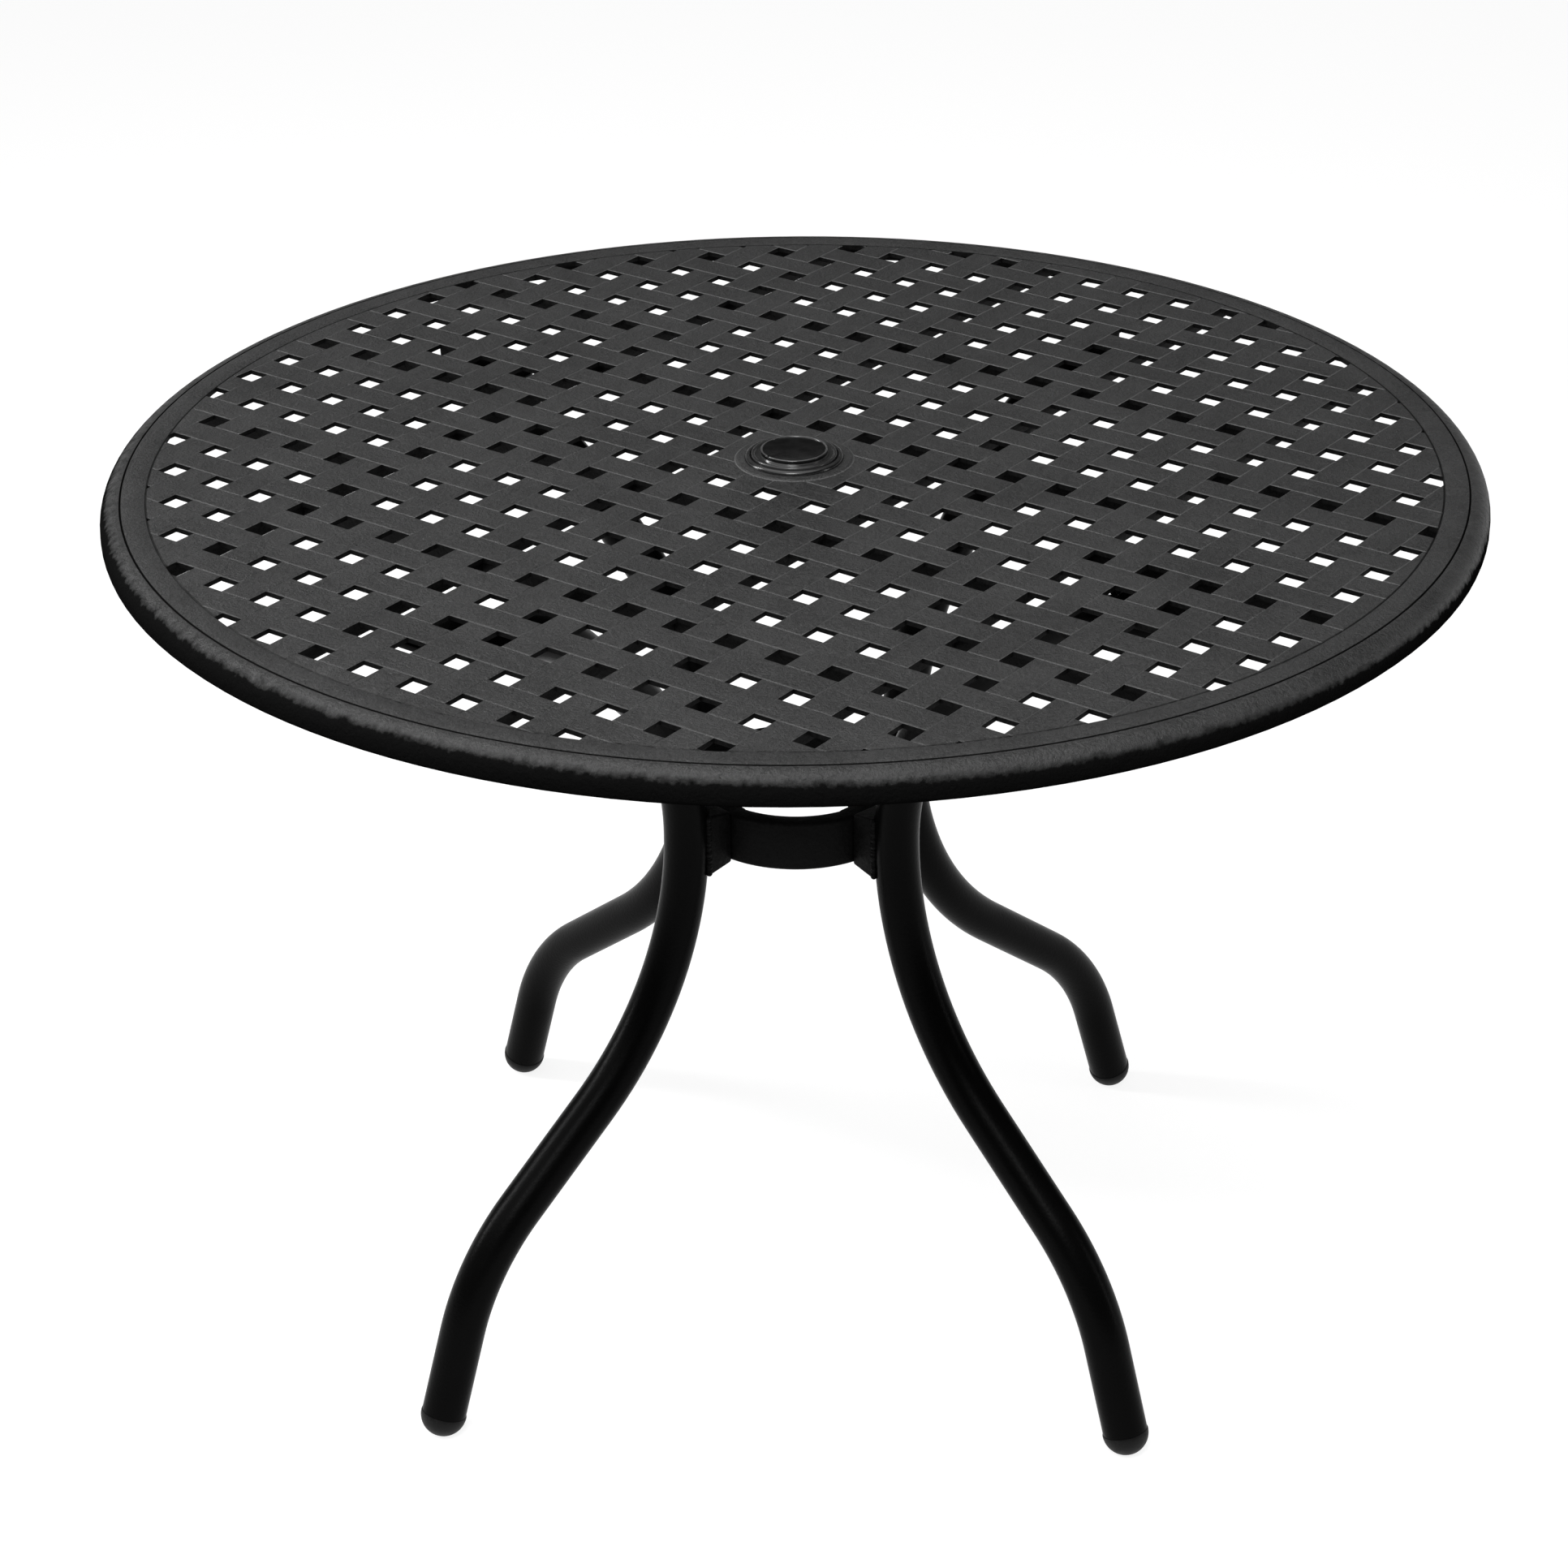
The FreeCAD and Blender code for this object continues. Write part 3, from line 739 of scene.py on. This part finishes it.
brace_coat = casting_coat()
for k, name in enumerate(leg_names):
    bm = lug_block()
    turn(bm, leg_first + k * pi / 2)
    lug_piece = finished("brace_lug_" + name + "_cast", bm, brace_coat, "table")
    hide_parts("brace_lug_" + name)


# Hoop. A cast aluminium band ties the four legs at the waist. It is flat outside where a lug
# meets it, and has a flat pad inside for the heads of the bolts.
hoop_low = 0.420
hoop_high = 0.462
hoop_wall = 0.014
hoop_radius = hypot(hoop_flat, lug_half + 0.0006)
hoop_bore = hoop_radius - hoop_wall
hoop_pad = sqrt(hoop_bore ** 2 - lug_half ** 2) - 0.001

hoop = turned_ring([
    (hoop_bore, hoop_low, 0.0015), (hoop_radius, hoop_low, 0.0025),
    (hoop_radius, hoop_high, 0.0025), (hoop_bore, hoop_high, 0.0015)], 180)
for vert in hoop.verts:
    for k in range(4):
        out = Vector((cos(leg_first + k * pi / 2), sin(leg_first + k * pi / 2), 0))
        reach = vert.co.dot(out)
        aside = (vert.co.xy - reach * out.xy).length
        if reach > hoop_flat:
            vert.co -= (reach - hoop_flat) * out
        elif reach > 0 and aside < lug_half and vert.co.xy.length < hoop_bore + 0.002:
            vert.co -= (sqrt(hoop_bore ** 2 - aside ** 2) - hoop_pad) * out
hoop_piece = finished("brace_ring_cast", hoop, brace_coat, "table")
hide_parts("brace_ring")


# Bolts. Blackened steel bolts with a flange under the hexagon: two in each plate, from
# below, and two through the hoop into each lug.
bolt_radius = 0.004
flange_radius = 0.0085
head_corner = 0.0075
head_height = 0.0053
plate_bolt_length = 0.016
brace_bolt_thread = 0.011
brace_bolt_levels = (0.429, 0.453)


def black_steel():
    """Blackened steel, bare and lighter where the spanner has worn it."""
    steel = Finish(bpy.data.materials.new("bolt_black_steel"))
    rub = steel.ramp(steel.noise(700.0, 4.0, 0.65), (0.55, 0.0), (0.75, 1.0))
    colour = steel.blend(rub, grey(0.035), grey(0.11))
    return steel.shader({
        "Base Color": colour, "Metallic": 1.0, "Roughness": 0.42 - 0.1 * rub,
        "Normal": steel.bump(steel.noise(1500.0), 0.00008)})


def flanged_bolt(length):
    """Bolt that points along +Z, with the face of its flange at the origin."""
    bm = turned_ring([
        (0, -0.001), (head_corner - 0.001, -0.0017), (flange_radius, -0.0010, 0.0003),
        (flange_radius, 0, 0.0002), (bolt_radius, 0), (bolt_radius, length, 0.0008),
        (0, length)], 32, False)
    head = bmesh.new()
    bmesh.ops.create_circle(head, cap_ends=True, segments=6, radius=head_corner,
                            matrix=Matrix.Translation((0, 0, -0.001)))
    grown = bmesh.ops.extrude_face_region(head, geom=head.faces[:])["geom"]
    for vert in verts_in(grown):
        vert.co.z = -head_height
    bmesh.ops.recalc_face_normals(head, faces=head.faces[:])
    cap = [face for face in head.faces if face.calc_center_median().z < -head_height + 1e-5]
    soften(head, cap[0].edges[:], 0.0007, 2)
    cap = min(head.faces, key=lambda face: face.calc_center_median().z)
    bmesh.ops.inset_region(head, faces=[cap], thickness=0.0022, depth=-0.0004)
    add_to(bm, head)
    return bm


bolt_finish = black_steel()
plate_bolts = bmesh.new()
brace_bolts = bmesh.new()
for k in range(4):
    for place in (bolt_outer, bolt_inner):
        bm = flanged_bolt(plate_bolt_length)
        turn(bm, k + place * 40)
        bmesh.ops.translate(bm, vec=(bolt_x, place, leg_end), verts=bm.verts[:])
        turn(bm, weave_turn + k * pi / 2)
        add_to(plate_bolts, bm)
    for level in brace_bolt_levels:
        bm = flanged_bolt(hoop_flat - hoop_pad + brace_bolt_thread)
        turn(bm, k + level * 90)
        turn(bm, pi / 2, "Y")
        bmesh.ops.translate(bm, vec=(hoop_pad, 0, level), verts=bm.verts[:])
        turn(bm, leg_first + k * pi / 2)
        add_to(brace_bolts, bm)
for node, bm in (("plate_bolts", plate_bolts), ("brace_bolts", brace_bolts)):
    bolts_piece = finished(node + "_black", bm, bolt_finish, "table", 30.0)
    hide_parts(node)


# Ring of the umbrella hole. It is moulded in glossy plastic and drops into the hub by its
# sleeve. Its flange has two rounded bands and a hollow round the seat of the plug.
pole_radius = 0.0200
pole_stop = 0.7312
sleeve_radius = 0.0252
skirt_bore = 0.0224
ring_foot = 0.7142
ring_edge = 0.0385
outer_band = 0.7414
band_groove = 0.7391
ring_hollow = 0.7408
plug_seat = 0.7427


def glossy_plastic(name, low, high, dull, highlight_level, highlight_grey):
    """Moulded plastic, a little cloudy from handling, with a painted highlight: lighter above a
    given height.
    """
    moulded = Finish(bpy.data.materials.new(name))
    cloud = moulded.ramp(moulded.noise(95.0, 4.0, 0.6), (0.35, 0.0), (0.7, 1.0))
    flow = moulded.noise(420.0, 2.0, 0.5)
    # Painted highlight: the raised bands of the ring and the lip of the plug are lighter above a
    # given height.
    edge = moulded.ramp((moulded.coordinate(2) - highlight_level) * 1000, (0.0, 0.0), (0.4, 1.0))
    painted_highlight = edge * (0.7 + 0.3 * cloud)
    colour = moulded.blend(cloud, grey(low), grey(high))
    colour = moulded.blend(painted_highlight, colour, grey(highlight_grey))
    return moulded.shader({
        "Base Color": colour, "Roughness": dull + 0.06 * cloud,
        "Normal": moulded.bump(flow, 0.00005), "Specular IOR Level": 0.5})


ring = turned_ring([
    (pole_radius, ring_foot, 0.0006), (0.0238, ring_foot, 0.0008),
    (sleeve_radius, ring_foot + 0.002, 0.001), (sleeve_radius, hub_top),
    (ring_edge, hub_top, 0.0002), (ring_edge, outer_band, 0.0028),
    (0.0345, outer_band, 0.0010), (0.0343, band_groove, 0.0002), (0.0335, band_groove, 0.0002),
    (0.0333, plug_seat, 0.0011), (0.0309, plug_seat, 0.0011), (0.0300, ring_hollow, 0.0006),
    (0.0272, ring_hollow, 0.0004), (0.0264, plug_seat, 0.0003), (skirt_bore, plug_seat, 0.0003),
    (skirt_bore, pole_stop), (pole_radius, pole_stop, 0.0003)], round_steps)
ring_plastic = glossy_plastic("ring_gloss_plastic", 0.003, 0.008, 0.20, 0.7404, 0.024)
ring_piece = finished("umbrella_ring_moulded", ring, ring_plastic, "ring")
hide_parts("umbrella_ring")


# Plug of the umbrella hole. A moulded disc with a raised lip and a skirt sits in the ring, and
# a notch in the lip takes a fingernail.
plug_radius = 0.02615
plug_top = 0.7457
skirt_outer = 0.0220
skirt_inner = 0.0200
skirt_foot = 0.7328
lip_inner = 0.0242
notch_level = 0.7444
notch_half = 0.0013
notch_turn = radians(-138.0)

cap = turned_ring([
    (0, plug_seat), (skirt_inner, plug_seat), (skirt_inner, skirt_foot),
    (skirt_outer, skirt_foot, 0.0005), (skirt_outer, plug_seat),
    (plug_radius, plug_seat, 0.0006), (plug_radius, plug_top, 0.0010),
    (0.0248, plug_top, 0.0005), (0.0244, plug_top - 0.0010, 0.0003),
    (0, plug_top - 0.0009)], round_steps, False)
notch = Vector((cos(notch_turn), sin(notch_turn)))
for vert in cap.verts:
    out = vert.co.xy.dot(notch)
    aside = (vert.co.xy - out * notch).length
    if out > lip_inner and aside < notch_half:
        vert.co.z = min(vert.co.z, notch_level)
cap_plastic = glossy_plastic("cap_gloss_plastic", 0.0015, 0.006, 0.19, 0.7451, 0.065)
cap_piece = finished("umbrella_cap_moulded", cap, cap_plastic, "cap")
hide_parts("umbrella_cap")


# Studio. The pale floor is white to the camera and keeps a soft shadow. A large soft box
# hangs overhead, a small one stands in front, and narrow ones stand at both sides.
def stage_floor():
    """Matte floor that also glows for the camera, reflections and refractions."""
    sheet = Finish(bpy.data.materials.new("studio_floor"))
    seen = sheet.node("ShaderNodeLightPath", output="Is Camera Ray") + sheet.node(
        "ShaderNodeLightPath", output="Is Glossy Ray") + sheet.node(
        "ShaderNodeLightPath", output="Is Transmission Ray")
    matte = sheet.node("ShaderNodeBsdfDiffuse", None, {"Color": grey(0.30)})
    glow = sheet.node("ShaderNodeEmission", None, {"Color": grey(1.0), "Strength": seen * 0.87})
    both = sheet.node("ShaderNodeAddShader", None, {0: matte, 1: glow})
    sheet.node("ShaderNodeOutputMaterial", None, {"Surface": both})
    return sheet.owner


ground = bmesh.new()
bmesh.ops.create_grid(ground, x_segments=1, y_segments=1, size=14.0)
mesh = bpy.data.meshes.new("studio_floor")
ground.to_mesh(mesh)
ground.free()
mesh.materials.append(stage_floor())
floor_object = bpy.data.objects.new("studio_floor", mesh)
bpy.context.scene.collection.objects.link(floor_object)


def studio_world():
    """Wall as light as the floor's far end round the horizon, and a dim ceiling."""
    world = Finish(bpy.data.worlds.new("studio"))
    way = world.node("ShaderNodeTexCoord", output="Generated")
    height = world.node("ShaderNodeSeparateXYZ", None, {"Vector": way}, 2)
    colour = world.ramp(
        height, (0.0, 0.88), (0.07, 0.88), (0.12, 0.05), (0.5, 0.04), (1.0, 0.26))
    sky = world.node("ShaderNodeBackground", None, {"Color": colour, "Strength": 1.0})
    world.node("ShaderNodeOutputWorld", None, {"Surface": sky})
    return world.owner


bpy.context.scene.world = studio_world()


def soft_box(name, place, aim, size, power):
    lamp = bpy.data.lights.new(name, "AREA")
    lamp.shape = "RECTANGLE"
    lamp.size, lamp.size_y = size
    lamp.energy = power
    holder = bpy.data.objects.new(name, lamp)
    bpy.context.scene.collection.objects.link(holder)
    holder.location = place
    holder.rotation_euler = (Vector(aim) - Vector(place)).to_track_quat("-Z", "Y").to_euler()


soft_box("overhead_softbox", (-0.5, -0.6, 2.9), (0, 0, 0.7), (4.2, 4.2), 78.0)
soft_box("front_softbox", (-0.15, -1.8, 2.8), (0, 0, 0.6), (0.9, 0.9), 38.0)
soft_box("left_strip", (-2.35, 0.2, 1.7), (-0.2, -0.2, 0.3), (0.25, 1.6), 38.0)
soft_box("right_strip", (2.6, -0.4, 1.0), (0, 0, 0.4), (0.25, 1.6), 6.0)

lens = bpy.data.cameras.new("photo_view")
lens.lens = 82.98
lens.sensor_width = 36.0
lens.sensor_fit = "HORIZONTAL"
camera = bpy.data.objects.new("photo_view", lens)
bpy.context.scene.collection.objects.link(camera)
camera.location = (0.1452, -2.5958, 1.8180)
look = Vector((-0.05298, 0.88362, -0.46519)).to_track_quat("-Z", "Y").to_matrix()
camera.rotation_euler = (look @ Matrix.Rotation(radians(-0.57), 3, "Z")).to_euler()
bpy.context.scene.camera = camera
bpy.context.scene.view_settings.view_transform = "Standard"
